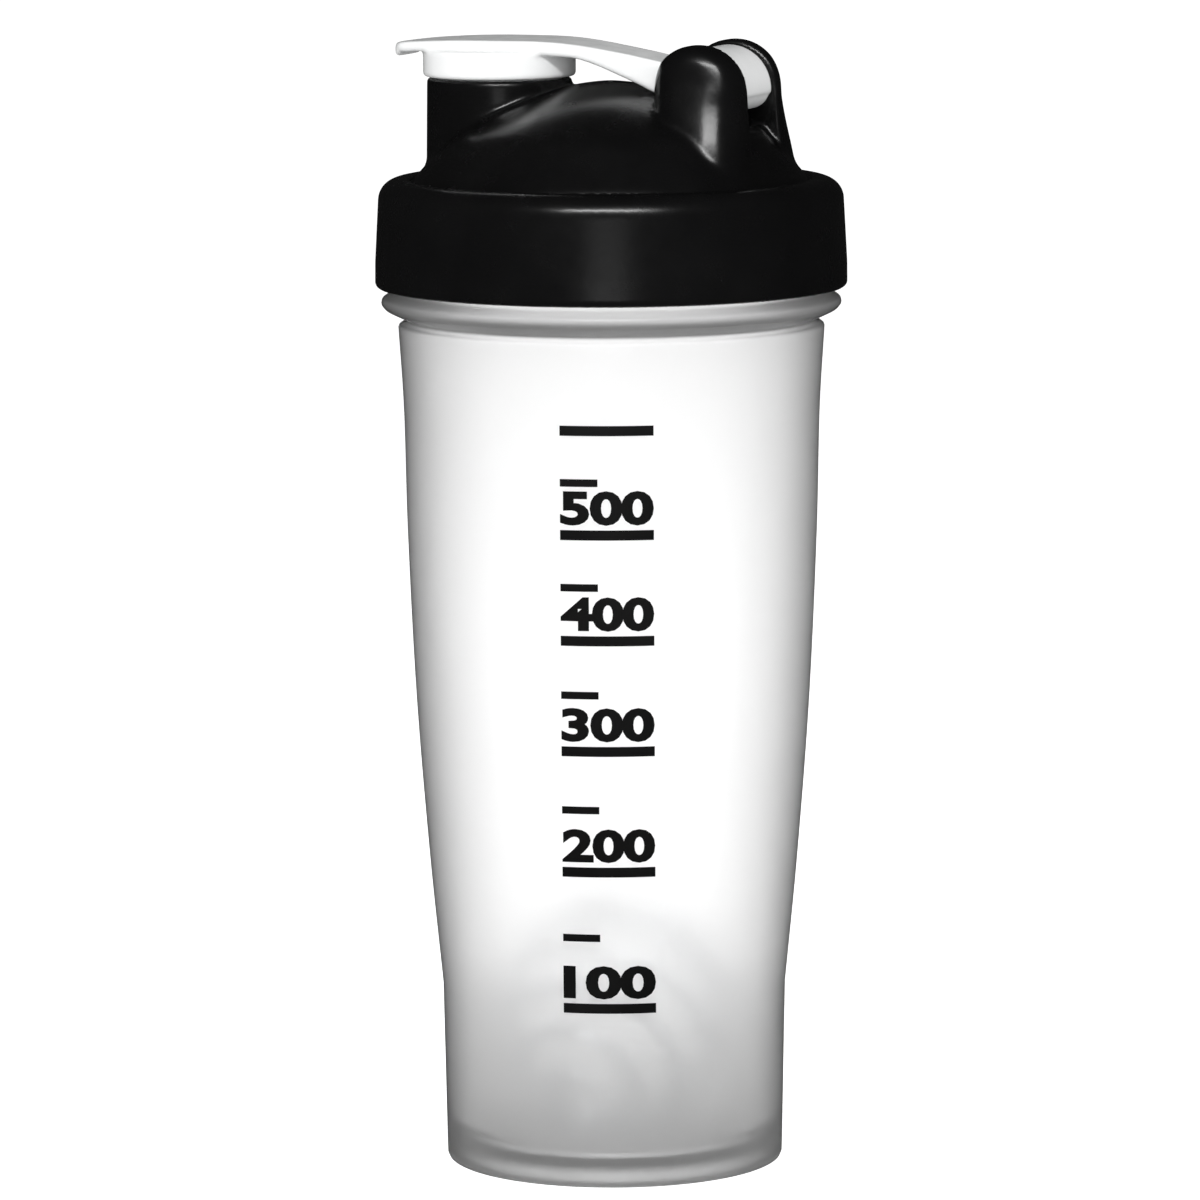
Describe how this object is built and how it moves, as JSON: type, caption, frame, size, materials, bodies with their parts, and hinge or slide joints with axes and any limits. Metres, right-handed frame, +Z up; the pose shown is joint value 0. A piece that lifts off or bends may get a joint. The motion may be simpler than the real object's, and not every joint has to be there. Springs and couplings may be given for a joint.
{
  "type": "protein shaker bottle",
  "caption": "Tapered frosted shaker bottle with a domed screw lid, an upright drinking spout closed by a hinged flip cap, and a loose wire whisk ball inside.",
  "frame": {"origin": "centre of the cup's foot, on the surface the bottle stands on", "axes": "+Z up along the cup's axis, -X towards the drinking spout and the thumb tab, +X towards the flip cap's hinge, Y along the hinge axis"},
  "size_m": [0.095, 0.095, 0.2275],
  "materials": {
    "cup": "frosted see-through polypropylene, softly glossy outside",
    "lid": "gloss black moulded plastic",
    "lid_seal": "soft translucent silicone",
    "flip_cap": "gloss white moulded plastic",
    "whisk_ball": "polished stainless wire"
  },
  "bodies": {
    "cup": {"cup": "cup"},
    "lid_seal": {"lid_seal": "lid_seal"},
    "lid": {"lid": "lid"},
    "flip_cap": {"flip_cap": "flip_cap"},
    "whisk_ball": {"whisk_ball": "whisk_ball"}
  },
  "joints": [
    {"name": "lid_lift", "type": "slide", "parent": "cup", "child": "lid_seal", "axis": [0, 0, 1], "range_m": [0, 0.01951]},
    {"name": "lid_turn", "type": "hinge", "parent": "lid_seal", "child": "lid", "pos_m": [0, 0, 0.178], "axis": [0, 0, 1], "range_deg": [0, 1170]},
    {"name": "flip_cap_hinge", "type": "hinge", "parent": "lid", "child": "flip_cap", "pos_m": [0.0225, 0, 0.2176], "axis": [0, 1, 0], "range_deg": [0, 170]},
    {"name": "whisk_ball_rattle", "type": "slide", "parent": "cup", "child": "whisk_ball", "axis": [0, 0, 1], "range_m": [0, 0.155]}
  ],
  "couplings": [
    {"joint": "lid_lift", "follows": "lid_turn", "m_per_rad": 0.00095493}
  ]
}
